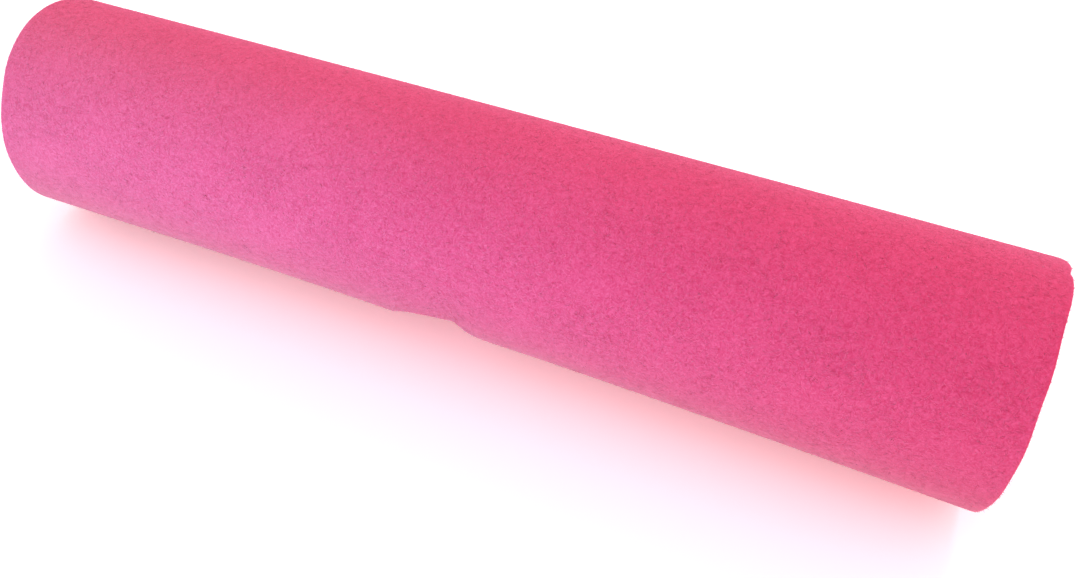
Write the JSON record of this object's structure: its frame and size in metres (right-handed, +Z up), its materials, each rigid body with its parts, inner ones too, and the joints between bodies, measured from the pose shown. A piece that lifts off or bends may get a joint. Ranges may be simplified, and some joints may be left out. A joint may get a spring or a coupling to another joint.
{
  "type": "roll of felt",
  "caption": "Length of thick craft felt wound tightly on itself into a round roll, lying on its side with its free end low at the front.",
  "frame": {"origin": "centre of the bottom of the roll's box, on the surface it rests on", "axes": "+X along the roll, +Z up, -Y towards the side where the free end of the felt lies"},
  "size_m": [0.4546, 0.1016, 0.0994],
  "materials": {
    "felt": "matt needle-punched felt"
  },
  "bodies": {
    "root": {"felt_roll": "felt"}
  },
  "joints": []
}
